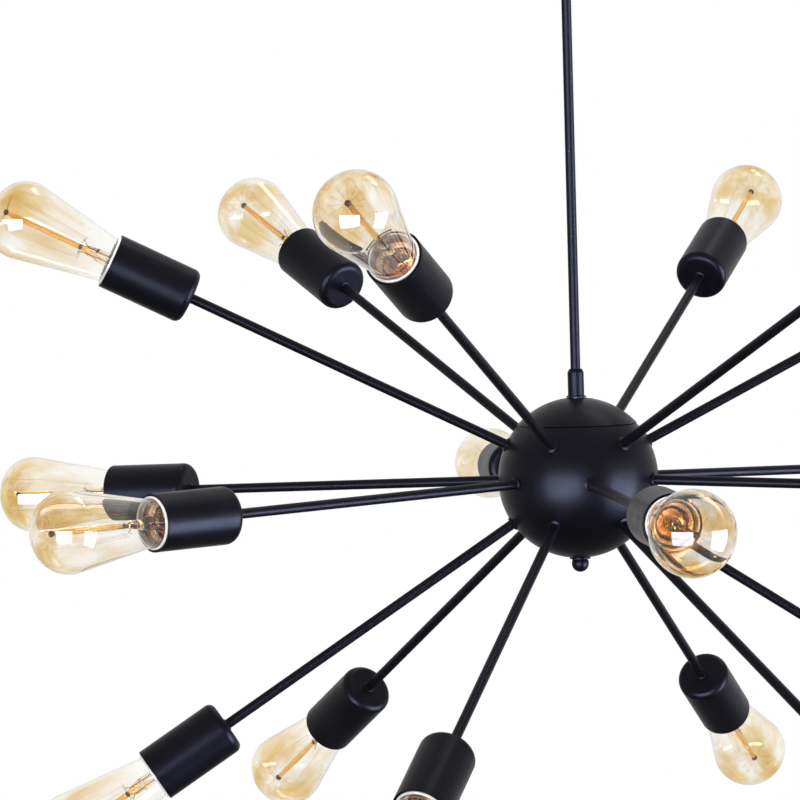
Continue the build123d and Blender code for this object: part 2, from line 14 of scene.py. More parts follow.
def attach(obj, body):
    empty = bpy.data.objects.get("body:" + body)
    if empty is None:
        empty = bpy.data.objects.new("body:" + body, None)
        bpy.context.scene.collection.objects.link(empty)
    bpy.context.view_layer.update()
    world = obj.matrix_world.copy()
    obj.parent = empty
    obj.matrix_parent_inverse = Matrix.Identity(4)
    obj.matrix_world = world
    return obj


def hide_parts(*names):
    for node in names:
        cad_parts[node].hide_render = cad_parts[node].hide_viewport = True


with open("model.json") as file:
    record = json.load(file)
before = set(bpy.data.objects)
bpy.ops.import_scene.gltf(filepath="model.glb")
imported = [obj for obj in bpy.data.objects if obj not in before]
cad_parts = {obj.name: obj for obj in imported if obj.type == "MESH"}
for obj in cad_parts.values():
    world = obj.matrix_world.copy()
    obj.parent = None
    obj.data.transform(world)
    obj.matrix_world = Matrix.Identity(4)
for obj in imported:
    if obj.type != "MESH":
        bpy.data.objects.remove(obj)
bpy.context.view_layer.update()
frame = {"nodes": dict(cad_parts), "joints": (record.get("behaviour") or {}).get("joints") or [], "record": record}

MM = 0.001
FULL_TURN = 2 * math.pi
GOLDEN_ANGLE = math.radians(137.5)    # from one lamp's glass to the next

# ---------------------------------------------------------------- sizes of the lamps
# Places such as shell_mouth, bulb_foot and stem_top are distances from the hub's centre along
# the arm, as in the frame.
shell_mouth = 409.65 * MM
shell_foot = 381.8 * MM
shell_bore = 13.35 * MM
shell_thread_depth = 0.45 * MM
mouth_radius = 18.5 * MM        # bore of the porcelain at the mouth
collar_top = 416.4 * MM         # of the metal that lines the mouth
holder_radius = 20.5 * MM
holder_face = 418.2 * MM
rim_top = 420.6 * MM
rim_inner_radius = 18.7 * MM    # clear of the glass
thread_pitch = 3.62 * MM
thread_depth = 0.55 * MM

bulb_foot = 384.0 * MM
base_top = 410.0 * MM
bulb_tip = 524.0 * MM
contact_height = 1.5 * MM
insulator_height = 3.5 * MM
base_foot = bulb_foot + contact_height + insulator_height
base_radius = 13.0 * MM
base_wall = 0.4 * MM
contact_radius = 4.6 * MM
glass_wall = 0.8 * MM
glass_radius = 32.0 * MM
neck_radius = 17.4 * MM
neck_height = 6.0 * MM          # from the base to the foot of the straight flank
neck_grip = 16.0 * MM           # how far the glass goes into the base
sleeve_gap = 0.1 * MM           # between that sleeve and the base
knuckle_radius = 26.0 * MM
crown_height = 28.0 * MM

stem_foot = base_top - 3.5 * MM
stem_wall = 0.8 * MM
flare_radius = 10.4 * MM
flare_height = 10.0 * MM
tube_radius = 5.2 * MM
press_low = stem_foot + 24.0 * MM
press_top = stem_foot + 34.0 * MM
press_width = 1.7 * MM          # how far the pinch spreads to either side
stem_top = stem_foot + 104.5 * MM
rod_radius = 2.3 * MM
button_radius = 2.6 * MM
lower_button_radius = 0.8 * button_radius
lower_button = press_top + 5.0 * MM
upper_hooks = 12
lower_hooks = upper_hooks - 1
upper_hook_reach = 14.5 * MM
lower_hook_reach = 9.5 * MM
hook_rise = 1.6 * MM
lower_hook_drop = 0.4 * hook_rise
hook_eye = 0.7 * MM
hook_wire = 0.08 * MM           # wires are given by their radius
lead_wire = 0.35 * MM
filament_wire = 0.04 * MM
filament_bow = 0.9 * MM

lathe_sides = 72


# ---------------------------------------------------------------- mesh tools
def new_object(name, data):
    thing = bpy.data.objects.new(name, data)
    bpy.context.scene.collection.objects.link(thing)
    return thing


def mesh_from(name, build, material):
    """Mesh made by build(bm), with smooth faces, outward normals and one material."""
    bm = bmesh.new()
    build(bm)
    bmesh.ops.recalc_face_normals(bm, faces=bm.faces)
    for face in bm.faces:
        face.smooth = True
    mesh = bpy.data.meshes.new(name)
    bm.to_mesh(mesh)
    bm.free()
    mesh.materials.append(material)
    return mesh


def bridge(bm, first, second):
    """Faces between two rings of vertices. A ring of one vertex is a pole."""
    count = max(len(first), len(second))
    for i in range(count):
        j = (i + 1) % count
        corners = [first[i % len(first)], first[j % len(first)]]
        corners += [second[j % len(second)], second[i % len(second)]]
        unique = [v for n, v in enumerate(corners) if v not in corners[:n]]
        if len(unique) > 2:
            bm.faces.new(unique)


def turn_angle(before, point, after):
    """Angle by which an outline turns at a point."""
    first, second = point - before, after - point
    if first.length < 1e-9 or second.length < 1e-9:
        return 0.0
    return abs(first.angle_signed(second))


def add_lathe(bm, outline, sides=lathe_sides, closed=False, wave=None, sharp=math.radians(35)):
    """Turns (radius, height) points about Z. wave(angle, height) is added to the radius."""
    points = [Vector(p) for p in outline]
    rings = []
    for radius, height in points:
        if radius < 1e-7:
            rings.append([bm.verts.new((0, 0, height))])
            continue
        ring = []
        for i in range(sides):
            angle = i * FULL_TURN / sides
            r = radius + (wave(angle, height) if wave else 0.0)
            ring.append(bm.verts.new((r * math.cos(angle), r * math.sin(angle), height)))
        rings.append(ring)
    pairs = list(zip(rings, rings[1:]))
    if closed:
        pairs.append((rings[-1], rings[0]))
    for first, second in pairs:
        if len(first) > 1 or len(second) > 1:
            bridge(bm, first, second)
    last = len(points) - 1
    for n, ring in enumerate(rings):
        inner = closed or 0 < n < last
        if inner and len(ring) > 1:
            before, after = points[n - 1], points[(n + 1) % len(points)]
            if turn_angle(before, points[n], after) > sharp:
                for i, vertex in enumerate(ring):
                    edge = bm.edges.get((vertex, ring[(i + 1) % len(ring)]))
                    if edge:
                        edge.smooth = False


def add_tube(bm, path, radius, sides=6):
    """Round wire along a list of points, with closed ends."""
    points = [Vector(p) for p in path]
    normal = None
    rings = []
    for n, point in enumerate(points):
        along = points[min(n + 1, len(points) - 1)] - points[max(n - 1, 0)]
        along.normalize()
        if normal is None:
            normal = along.orthogonal().normalized()
        normal = (normal - along * normal.dot(along)).normalized()
        across = along.cross(normal)
        ring = []
        for i in range(sides):
            angle = i * FULL_TURN / sides
            offset = normal * math.cos(angle) + across * math.sin(angle)
            ring.append(bm.verts.new(point + offset * radius))
        rings.append(ring)
    for first, second in zip(rings, rings[1:]):
        bridge(bm, first, second)
    bm.faces.new(rings[0])
    bm.faces.new(rings[-1])


def arc(centre, radius, start, end, steps):
    """Points of an arc in the (radius, height) plane, both ends included."""
    x, y = centre
    angles = [start + (end - start) * i / steps for i in range(steps + 1)]
    return [Vector((x + radius * math.cos(a), y + radius * math.sin(a))) for a in angles]


def line(start, end, steps):
    """Evenly spaced points, both ends included."""
    start, end = Vector(start), Vector(end)
    return [start.lerp(end, i / steps) for i in range(steps + 1)]


def polar(radius, angle, height):
    return Vector((radius * math.cos(angle), radius * math.sin(angle), height))


# ---------------------------------------------------------------- material tools
def new_material(name, **values):
    """Principled material with values on its own sockets."""
    material = bpy.data.materials.new(name)
    material.use_nodes = True
    shader = material.node_tree.nodes["Principled BSDF"]
    for socket, value in values.items():
        shader.inputs[socket.replace("_", " ")].default_value = value
    return material, material.node_tree, shader


def object_point(tree, stretch=(1, 1, 1)):
    place = tree.nodes.new("ShaderNodeTexCoord")
    mapping = tree.nodes.new("ShaderNodeMapping")
    mapping.inputs["Scale"].default_value = stretch
    tree.links.new(place.outputs["Object"], mapping.inputs["Vector"])
    return mapping.outputs["Vector"]


def noise(tree, scale, detail=2.0, stretch=(1, 1, 1)):
    texture = tree.nodes.new("ShaderNodeTexNoise")
    texture.inputs["Scale"].default_value = scale
    texture.inputs["Detail"].default_value = detail
    tree.links.new(object_point(tree, stretch), texture.inputs["Vector"])
    return texture.outputs["Fac"]


def cells(tree, scale):
    texture = tree.nodes.new("ShaderNodeTexVoronoi")
    texture.inputs["Scale"].default_value = scale
    tree.links.new(object_point(tree), texture.inputs["Vector"])
    return texture.outputs["Distance"]


def spread(tree, value, low, high, start=0.3, end=0.7):
    """Maps a texture's middle range to low..high."""
    node = tree.nodes.new("ShaderNodeMapRange")
    for name, number in (("From Min", start), ("From Max", end), ("To Min", low), ("To Max", high)):
        node.inputs[name].default_value = number
    tree.links.new(value, node.inputs["Value"])
    return node.outputs["Result"]


def maths(tree, operation, first, second=None, third=None):
    """Result of one sum on numbers or on the outputs of other nodes."""
    node = tree.nodes.new("ShaderNodeMath")
    node.operation = operation
    for socket, value in zip(node.inputs, (first, second, third)):
        if isinstance(value, bpy.types.NodeSocket):
            tree.links.new(value, socket)
        elif value is not None:
            socket.default_value = value
    return node.outputs["Value"]


def ramp(tree, value, *stops):
    """Colour from a value, by (position, colour) stops."""
    node = tree.nodes.new("ShaderNodeValToRGB")
    elements = node.color_ramp.elements
    while len(elements) < len(stops):
        elements.new(0.5)
    for element, (position, colour) in zip(elements, stops):
        element.position = position
        element.color = (*colour, 1.0)
    tree.links.new(value, node.inputs["Fac"])
    return node.outputs["Color"]


def bump(tree, shader, height, strength, distance, under=None):
    node = tree.nodes.new("ShaderNodeBump")
    node.inputs["Strength"].default_value = strength
    node.inputs["Distance"].default_value = distance
    tree.links.new(height, node.inputs["Height"])
    if under:
        tree.links.new(under, node.inputs["Normal"])
    tree.links.new(node.outputs["Normal"], shader.inputs["Normal"])
    return node.outputs["Normal"]


# ---------------------------------------------------------------- finishes
def make_black_paint():
    """Satin powder coat: fine orange peel, uneven gloss and a faint blue-violet cast."""
    material, tree, shader = new_material(
        "satin_black_paint",
        Specular_IOR_Level=0.085,
        Sheen_Weight=0.008,
        Sheen_Roughness=0.35,
        Sheen_Tint=(0.80, 0.50, 0.68, 1.0),
    )
    tone = ramp(
        tree,
        noise(tree, 14.0, detail=4.0),
        (0.30, (0.0034, 0.0030, 0.0050)),
        (0.55, (0.0046, 0.0040, 0.0064)),
        (0.75, (0.0060, 0.0052, 0.0076)),
    )
    tree.links.new(tone, shader.inputs["Base Color"])
    gloss = spread(tree, noise(tree, 70.0, detail=2.0), 0.31, 0.38)
    tree.links.new(gloss, shader.inputs["Roughness"])
    peel = bump(tree, shader, noise(tree, 480.0, detail=1.0), 0.015, 0.20 * MM)
    bump(tree, shader, noise(tree, 1500.0, detail=1.0), 0.008, 0.08 * MM, under=peel)
    return material


def make_zinc():
    """Plated steel: cloudy grain with fine drawn lines."""
    material, tree, shader = new_material("zinc_plated_steel", Metallic=1.0)
    tone = ramp(
        tree,
        noise(tree, 160.0, detail=6.0),
        (0.30, (0.42, 0.43, 0.46)),
        (0.55, (0.60, 0.61, 0.63)),
        (0.72, (0.70, 0.68, 0.62)),
    )
    tree.links.new(tone, shader.inputs["Base Color"])
    grain = noise(tree, 700.0, detail=3.0, stretch=(0.08, 1, 1))
    tree.links.new(spread(tree, grain, 0.26, 0.46), shader.inputs["Roughness"])
    bump(tree, shader, grain, 0.12, 0.05 * MM)
    return material


def make_porcelain():
    """Cream glazed porcelain with a faint mottle and pinholes under the glaze."""
    material, tree, shader = new_material(
        "cream_porcelain", Roughness=0.22, Coat_Weight=0.6, Coat_Roughness=0.08
    )
    tone = ramp(
        tree,
        noise(tree, 240.0, detail=5.0),
        (0.30, (0.93, 0.89, 0.83)),
        (0.52, (0.96, 0.93, 0.88)),
        (0.75, (0.97, 0.95, 0.92)),
    )
    tree.links.new(tone, shader.inputs["Base Color"])
    soft = bump(tree, shader, noise(tree, 320.0, detail=2.0), 0.15, 0.15 * MM)
    pinholes = spread(tree, cells(tree, 900.0), 0.0, 1.0, 0.0, 0.12)
    bump(tree, shader, pinholes, 0.12, 0.05 * MM, under=soft)
    return material


def make_metal(name, dark, middle, light, smooth, rough):
    """Thin rolled metal with tarnish in patches and drawn lines round it."""
    material, tree, shader = new_material(name, Metallic=1.0)
    tone = ramp(tree, noise(tree, 190.0, detail=6.0), (0.28, dark), (0.52, middle), (0.74, light))
    tree.links.new(tone, shader.inputs["Base Color"])
    lines = noise(tree, 900.0, detail=3.0, stretch=(0.3, 0.3, 1))
    tree.links.new(spread(tree, lines, smooth, rough), shader.inputs["Roughness"])
    bump(tree, shader, lines, 0.10, 0.04 * MM)
    return material


def make_glass(name, thin, thick, low, high, patchy):
    """Tinted glass. The tint deepens between two heights of the lamp and in uneven patches."""
    material, tree, shader = new_material(name, Transmission_Weight=1.0, Roughness=0.0, IOR=1.47)
    height = tree.nodes.new("ShaderNodeSeparateXYZ")
    tree.links.new(object_point(tree), height.inputs["Vector"])
    rise = spread(tree, height.outputs["Z"], 0.0, 1.0, low, high)
    patches = noise(tree, 34.0, detail=3.0, stretch=(1, 1, 0.32))
    cloud = spread(tree, patches, 1.0 - patchy, 1.0, 0.455, 0.63)
    tone = ramp(tree, maths(tree, "MULTIPLY", rise, cloud), (0.0, thin), (1.0, thick))
    tree.links.new(tone, shader.inputs["Base Color"])
    bump(tree, shader, noise(tree, 45.0, detail=1.0), 0.05, 0.3 * MM)
    return material


def make_dark_glass(name, dark, light):
    """Opaque pressed glass with flow marks."""
    material, tree, shader = new_material(name, Roughness=0.16, Coat_Weight=0.5)
    tone = ramp(tree, noise(tree, 500.0, detail=4.0), (0.35, dark), (0.70, light))
    tree.links.new(tone, shader.inputs["Base Color"])
    bump(tree, shader, noise(tree, 700.0, detail=2.0), 0.10, 0.08 * MM)
    return material


black_paint = make_black_paint()
zinc = make_zinc()
porcelain = make_porcelain()
copper = make_metal(
    "copper_shell", (0.72, 0.32, 0.11), (0.94, 0.54, 0.25), (0.98, 0.70, 0.40), 0.22, 0.40
)
base_copper = make_metal(
    "copper_base", (0.66, 0.24, 0.07), (0.94, 0.44, 0.15), (0.97, 0.60, 0.30), 0.18, 0.34
)
solder = make_metal(
    "solder_contact", (0.34, 0.34, 0.35), (0.52, 0.52, 0.53), (0.66, 0.66, 0.66), 0.28, 0.50
)
wire_metal = make_metal(
    "support_wire", (0.16, 0.08, 0.04), (0.30, 0.17, 0.09), (0.46, 0.30, 0.16), 0.25, 0.45
)
filament_metal = make_metal(
    "filament_wire", (0.40, 0.26, 0.12), (0.58, 0.40, 0.20), (0.72, 0.54, 0.30), 0.35, 0.60
)
tint_low, tint_high = base_top + 16.0 * MM, bulb_tip - 22.0 * MM
amber_glass = make_glass(
    "amber_glass", (0.993, 0.987, 0.965), (0.835, 0.635, 0.30), tint_low, tint_high, 0.95
)
stem_glass = make_glass(
    "amber_stem_glass", (0.96, 0.90, 0.80), (0.88, 0.50, 0.09), press_low - 6.0 * MM, press_top, 0.1
)
button_glass = make_dark_glass("button_glass", (0.045, 0.008, 0.004), (0.13, 0.028, 0.010))
black_glass = make_dark_glass("black_insulator_glass", (0.008, 0.007, 0.010), (0.030, 0.024, 0.034))

slot_finish = {
    "black_paint": black_paint,
    "zinc_steel": zinc,
    "porcelain": porcelain,
    "socket_metal": copper,
    "amber_glass": amber_glass,
}
for part in frame["record"]["subparts"]:
    node = frame["nodes"][part["node"]]
    node.data.materials.clear()
    node.data.materials.append(slot_finish[part["material_slot"]])


# ---------------------------------------------------------------- bulbs
def glass_line(wall):
    """Side of the glass from tip to neck, set in by a wall: crown, knuckle, flank and neck."""
    widest = bulb_tip - crown_height
    knuckle_centre = Vector((glass_radius - knuckle_radius, widest))
    foot = Vector((neck_radius, base_top + neck_height))
    reach = knuckle_centre - foot
    flank_angle = math.atan2(reach.y, reach.x) - math.asin(knuckle_radius / reach.length)
    flank = Vector((math.cos(flank_angle), math.sin(flank_angle)))
    outward = Vector((flank.y, -flank.x))
    crown_radius = (knuckle_centre.x**2 + crown_height**2 - knuckle_radius**2) / (
        2 * (crown_height - knuckle_radius)
    )
    crown_centre = Vector((0, bulb_tip - crown_radius))
    to_knuckle = knuckle_centre - crown_centre
    joint_angle = math.atan2(to_knuckle.y, to_knuckle.x)
    outward_angle = math.atan2(outward.y, outward.x)
    crown = arc(crown_centre, crown_radius - wall, math.pi / 2, joint_angle, 12)
    knuckle = arc(knuckle_centre, knuckle_radius - wall, joint_angle, outward_angle, 16)
    foot = foot - outward * wall
    neck = Vector((base_radius - wall, base_top))
    chord = neck - foot
    bend_radius = chord.length_squared / (2 * chord.dot(outward))
    bend_centre = foot + outward * bend_radius
    start = math.atan2(foot.y - bend_centre.y, foot.x - bend_centre.x) % FULL_TURN
    end = math.atan2(neck.y - bend_centre.y, neck.x - bend_centre.x) % FULL_TURN
    bend = arc(bend_centre, abs(bend_radius), start, end, 8)
    crown[0].x = 0.0
    return crown + knuckle[1:] + line(knuckle[-1], foot, 14)[1:] + bend[1:]


def build_glass(bm):
    """Closed wall of even thickness, whose sleeve goes down inside the screw base."""
    outer = base_radius - base_wall - sleeve_gap
    inner = outer - glass_wall
    low = base_top - neck_grip
    step = 0.2 * MM
    outline = glass_line(0.0)
    outline += [Vector((outer, base_top - step)), Vector((outer, low))]
    outline += [Vector((inner, low)), Vector((inner, base_top - 2 * step))]
    outline += list(reversed(glass_line(glass_wall)))
    add_lathe(bm, outline, sharp=math.radians(50))


def rolled_thread(low, high, depth):
    """Rounded wave that climbs one pitch in a turn and runs out over 1 mm at both ends."""
    run_out = 1.0 * MM

    def wave(angle, height):
        share = max(0.0, min(1.0, (height - low) / run_out, (high - height) / run_out))
        return depth * share * (0.5 + 0.5 * math.cos(FULL_TURN * height / thread_pitch - angle))

    return wave


def build_base(bm):
    """Screw base: rolled thread, plain rim at the glass, a hollow shell with a floor."""
    low, high = base_foot, base_top
    root = base_radius - thread_depth
    inner = base_radius - base_wall
    floor = low + 2.4 * MM
    top = high - 3.0 * MM
    edge = 0.2 * MM
    foot = [(inner - 1.8 * MM, floor), (inner - 1.2 * MM, low), (root - 0.4 * MM, low + 0.5 * MM)]
    threads = line((root, low + 1.5 * MM), (root, top), 42)
    rim = [(base_radius - 0.15 * MM, high - 1.8 * MM), (base_radius, high - 1.2 * MM)]
    rim += [(base_radius, high - edge), (base_radius - edge, high)]
    inside = [(inner, high), (inner, high - 2.0 * MM), (inner - thread_depth, top)]
    inside += [(inner - thread_depth, floor + 1.6 * MM), (inner - 2.0 * MM, floor + base_wall)]
    outline = [(0, floor)] + foot + threads + rim + inside + [(0, floor + base_wall)]
    wave = rolled_thread(low + 1.2 * MM, high - 2.4 * MM, thread_depth)
    add_lathe(bm, outline, wave=wave, sharp=math.radians(70))


def build_insulator(bm):
    """Pressed glass cone between the base and the centre contact."""
    low, high = bulb_foot + contact_height, base_foot + 1.0 * MM
    wide = base_radius - base_wall - 1.4 * MM
    outline = [(0, low), (contact_radius, low), (contact_radius + 1.0 * MM, low + 0.4 * MM)]
    outline += [(wide - 1.5 * MM, base_foot - 0.6 * MM), (wide, base_foot), (wide, high), (0, high)]
    add_lathe(bm, outline, sides=48)


def build_contact(bm):
    """Centre contact with a soldered dome."""
    top = bulb_foot + contact_height
    outline = [(0, bulb_foot), (1.6 * MM, bulb_foot + 0.12 * MM), (2.4 * MM, bulb_foot + 0.5 * MM)]
    outline += [(contact_radius - 0.6 * MM, bulb_foot + 0.7 * MM)]
    outline += [(contact_radius, bulb_foot + 1.0 * MM), (contact_radius, top), (0, top)]
    add_lathe(bm, outline, sides=40)


def build_stem(bm):
    """Flare, hollow tube, flat press and solid rod of the glass stem."""
    flare_steps = 10
    flare = []
    for i in range(flare_steps + 1):
        share = i / flare_steps
        widening = (1 - math.sin(share * math.pi / 2)) ** 1.3
        radius = tube_radius + (flare_radius - tube_radius) * widening
        flare.append((radius, stem_foot + share * flare_height))
    tube = [(tube_radius, press_low - 2 * MM), (0.92 * tube_radius, press_low)]
    inside = [
        (radius - stem_wall, max(height - 0.3 * MM, stem_foot))
        for radius, height in reversed(flare + tube)
    ]
    press = [(3.5 * MM, press_low + 3 * MM), (3.3 * MM, press_top - 3 * MM), (2.6 * MM, press_top)]
    rod = [(1.9 * MM, press_top + 3 * MM), (rod_radius, press_top + 16 * MM)]
    rod += [(rod_radius, stem_top - 30 * MM), (0.86 * rod_radius, stem_top - 8 * MM)]
    rod += [(0.72 * rod_radius, stem_top - 2 * MM), (0, stem_top - 1.2 * MM)]
    outline = [(0, press_low + 0.5 * MM)] + inside + flare + tube + press + rod

    def flatten(angle, height):
        middle = (press_low + press_top) / 2 + MM
        share = max(0.0, 1 - abs(height - middle) / (press_top - press_low))
        return press_width * share * math.cos(2 * angle)

    add_lathe(bm, outline, sides=48, wave=flatten, sharp=math.radians(60))


def build_buttons(bm):
    """Glass beads that hold the support wires, at the stem's top and above its pinch."""
    flatness = 0.75
    steps = 12
    for height, size in ((stem_top, button_radius), (lower_button, lower_button_radius)):
        outline = [
            (size * math.sin(a), height - flatness * size * math.cos(a))
            for a in (i * math.pi / steps for i in range(steps + 1))
        ]
        outline[0] = (0, outline[0][1])
        outline[-1] = (0, outline[-1][1])
        add_lathe(bm, outline, sides=32)


def hook(reach, height, angle, rise, start):
    """Support wire from its button outwards, with a small open eye at its end."""
    eye_centre = reach - hook_eye
    eye_steps = 8
    upwards = 1 if rise > 0 else -1
    path = [polar(start, angle, height), polar(0.45 * reach, angle, height + 0.25 * rise)]
    path += [polar(0.8 * reach, angle, height + 0.7 * rise), polar(eye_centre, angle, height + rise)]
    for i in range(1, eye_steps - 1):
        turn = i * FULL_TURN / eye_steps
        out = eye_centre + hook_eye * math.sin(turn)
        up = hook_eye * (1 - math.cos(turn)) * upwards
        path.append(polar(out, angle, height + rise + up))
    return path


def build_wires(bm):
    """Support wires of both buttons and the two lead wires in the stem."""
    rng = random.Random(5)
    bend, shortest = 0.05, 0.95    # a wire may be a little out of line and short
    for count, reach, height, rise, size in (
        (upper_hooks, upper_hook_reach, stem_top, hook_rise, button_radius),
        (lower_hooks, lower_hook_reach, lower_button, -lower_hook_drop, lower_button_radius),
    ):
        for i in range(count):
            angle = (i + (0.5 if rise < 0 else 0.0)) * FULL_TURN / upper_hooks
            angle += rng.uniform(-bend, bend)
            length = reach * rng.uniform(shortest, 1.0)
            add_tube(bm, hook(length, height, angle, rise, 0.5 * size), hook_wire, sides=5)
    for side in (-1, 1):
        path = [
            (side * 2.4 * MM, 0, base_foot + 3 * MM),
            (side * 3.2 * MM, 0, stem_foot),
            (side * 2.6 * MM, 0, press_low),
            (side * 2.8 * MM, 0, press_top - MM),
            (side * 4.6 * MM, 0.8 * MM, press_top + 2 * MM),
            (side * 7.2 * MM, 2.0 * MM, lower_button),
        ]
        add_tube(bm, path, lead_wire, sides=6)


def build_filament(bm):
    """One long filament that runs up and down between the two rings of hooks."""
    top = stem_top + hook_rise + 0.5 * MM
    low = lower_button - lower_hook_drop
    leg_steps = 8
    path = []
    for i in range(upper_hooks - 1):
        start, end = i * FULL_TURN / upper_hooks, (i + 1) * FULL_TURN / upper_hooks
        middle = (start + end) / 2
        legs = [
            (upper_hook_reach, start, top, lower_hook_reach, middle, low),
            (lower_hook_reach, middle, low, upper_hook_reach, end, top),
        ]
        for r0, a0, h0, r1, a1, h1 in legs:
            for n in range(leg_steps):
                share = n / leg_steps
                bow = filament_bow * math.sin(share * math.pi)
                radius = r0 + (r1 - r0) * share - hook_eye + bow
                path.append(polar(radius, a0 + (a1 - a0) * share, h0 + (h1 - h0) * share))
    add_tube(bm, path, filament_wire, sides=4)


def build_shell(bm):
    """Threaded metal shell of a lampholder, with a dished collar that lines the mouth."""
    crest = shell_bore
    root = crest + shell_thread_depth
    outside = crest + 0.5 * MM
    threads = line((root, shell_foot), (root, shell_mouth - 2 * MM), 40)
    lip = [(crest + 0.3 * MM, shell_mouth - 1.0 * MM), (crest + 0.35 * MM, shell_mouth - 0.2 * MM)]
    wall = 0.3 * MM
    collar = mouth_radius - 0.1 * MM
    back = shell_mouth + 0.05 * MM
    floor = shell_mouth + wall
    dish = [(crest + 0.8 * MM, floor), (collar - 1.4 * MM, floor)]
    dish += [(collar - 2 * wall, floor + 0.6 * MM), (collar - wall, floor + 1.6 * MM)]
    dish += [(collar - wall, collar_top), (collar, collar_top), (collar, back), (outside, back)]
    outline = threads + lip + dish + [(outside, shell_foot)]
    wave = rolled_thread(shell_foot, shell_mouth - 1.2 * MM, -shell_thread_depth)
    add_lathe(bm, outline, closed=True, wave=wave, sharp=math.radians(60))


def build_rim(bm):
    """Rounded porcelain rim of a lampholder, which stands a little out of the cup."""
    bend = 0.42 * (holder_radius - rim_inner_radius)
    foot = holder_face - 0.4 * MM
    outline = [(rim_inner_radius, foot), (holder_radius, foot)]
    outline += arc((holder_radius - bend, rim_top - bend), bend, 0.0, math.pi / 2, 6)
    outline += arc((rim_inner_radius + bend, rim_top - bend), bend, math.pi / 2, math.pi, 6)
    add_lathe(bm, outline, closed=True)


bulb_pieces = {
    "glass": (mesh_from("bulb_glass", build_glass, amber_glass), "amber_glass"),
    "base": (mesh_from("bulb_base", build_base, base_copper), "socket_metal"),
    "insulator": (mesh_from("bulb_insulator", build_insulator, black_glass), "amber_glass"),
    "contact": (mesh_from("bulb_contact", build_contact, solder), "socket_metal"),
    "stem": (mesh_from("bulb_stem", build_stem, stem_glass), "amber_glass"),
    "buttons": (mesh_from("bulb_buttons", build_buttons, button_glass), "amber_glass"),
    "wires": (mesh_from("bulb_wires", build_wires, wire_metal), "socket_metal"),
    "filament": (mesh_from("bulb_filament", build_filament, filament_metal), "socket_metal"),
}
shell_mesh = mesh_from("screw_shell", build_shell, copper)
rim_mesh = mesh_from("porcelain_rim", build_rim, porcelain)


def place(name, mesh, matrix, body, slot):
    """Piece of a lamp that moves with a body. The slot argument is not used."""
    piece = new_object(name, mesh)
    piece.matrix_world = matrix
    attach(piece, body)
    return piece


def lamp_places():
    """Each bulb's node with the matrix that puts a lamp's Z axis along its arm."""
    joints = [j for j in frame["joints"] if j["child"].startswith("bulb_")]
    for index, joint in enumerate(joints):
        axis, point = Vector(joint["axis"]).normalized(), Vector(joint["pos_m"])
        hub_centre = point - axis * (point.xy.length / axis.xy.length)
        turn = Matrix.Rotation(index * GOLDEN_ANGLE, 4, "Z")
        upright = axis.to_track_quat("Z", "Y").to_matrix().to_4x4()
        yield joint["child"], Matrix.Translation(hub_centre) @ upright @ turn


lamps = dict(lamp_places())
hub_centre = next(iter(lamps.values())).translation.copy()
for node, matrix in lamps.items():
    for kind, (mesh, slot) in bulb_pieces.items():
        piece = place(f"{node}_{kind}", mesh, matrix, node, slot)
        if kind == "glass":
            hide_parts(node)
    shell_name = node.replace("bulb_", "screw_shell_")
    shell = place(shell_name, shell_mesh, matrix, "pendant", "socket_metal")
    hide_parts("lampholder_shells")
    place(node.replace("bulb_", "porcelain_rim_"), rim_mesh, matrix, "pendant", "porcelain")


# ---------------------------------------------------------------- camera
lens, sensor_width = 217.2, 36.0    # mm
view_azimuth = math.radians(82.77)
view_pitch = math.radians(2.37)
view_roll = math.radians(-1.53)
hub_right, hub_down, hub_ahead = 0.1448, 0.0633, 3.922    # metres, as the camera sees the hub

level = Vector((math.cos(view_azimuth), math.sin(view_azimuth), 0))
ahead = level * math.cos(view_pitch) - Vector((0, 0, math.sin(view_pitch)))
side = ahead.cross(Vector((0, 0, 1))).normalized()
down = ahead.cross(side)
right = side * math.cos(view_roll) - down * math.sin(view_roll)
below = side * math.sin(view_roll) + down * math.cos(view_roll)


def make_camera():
    camera = new_object("camera", bpy.data.cameras.new("camera"))
    camera.data.lens = lens
    camera.data.sensor_width = sensor_width
    camera.data.clip_end = 100.0
    turned = Matrix((right, -below, -ahead)).transposed().to_4x4()
    spot = hub_centre - right * hub_right - below * hub_down - ahead * hub_ahead
    camera.matrix_world = Matrix.Translation(spot) @ turned
    bpy.context.scene.camera = camera


# ---------------------------------------------------------------- light and floor
# Azimuth and elevation from the viewing side, width and height, all in degrees.
left_window = (-23.0, -11.5, 50.0, 32.0)
right_window = (68.0, -17.0, 43.0, 40.0)
ceiling_light = (130.0, 64.0, 55.0, 58.0)
ceiling_share = 0.14                # of a window's brightness
window_light = 30.0
window_tint = (0.58, 0.67, 1.0)
room_front, room_back = 0.60, 0.90  # what a mirror shows behind the viewer and past the lamp
room_low = 0.2                      # share of that near the floor
room_light = 0.92                   # on dull surfaces
window_glow = 0.5                   # what a window adds to that
overhead_offset = Vector((0.5, -0.6, 2.6))    # from the hub
overhead_size = 1.8                 # metres across
overhead_power = 70.0               # watts


def toward(tree, direction, vector):
    """How far a vector points along a direction."""
    node = tree.nodes.new("ShaderNodeVectorMath")
    node.operation = "DOT_PRODUCT"
    node.inputs[1].default_value = vector
    tree.links.new(direction, node.inputs[0])
    return node.outputs["Value"]


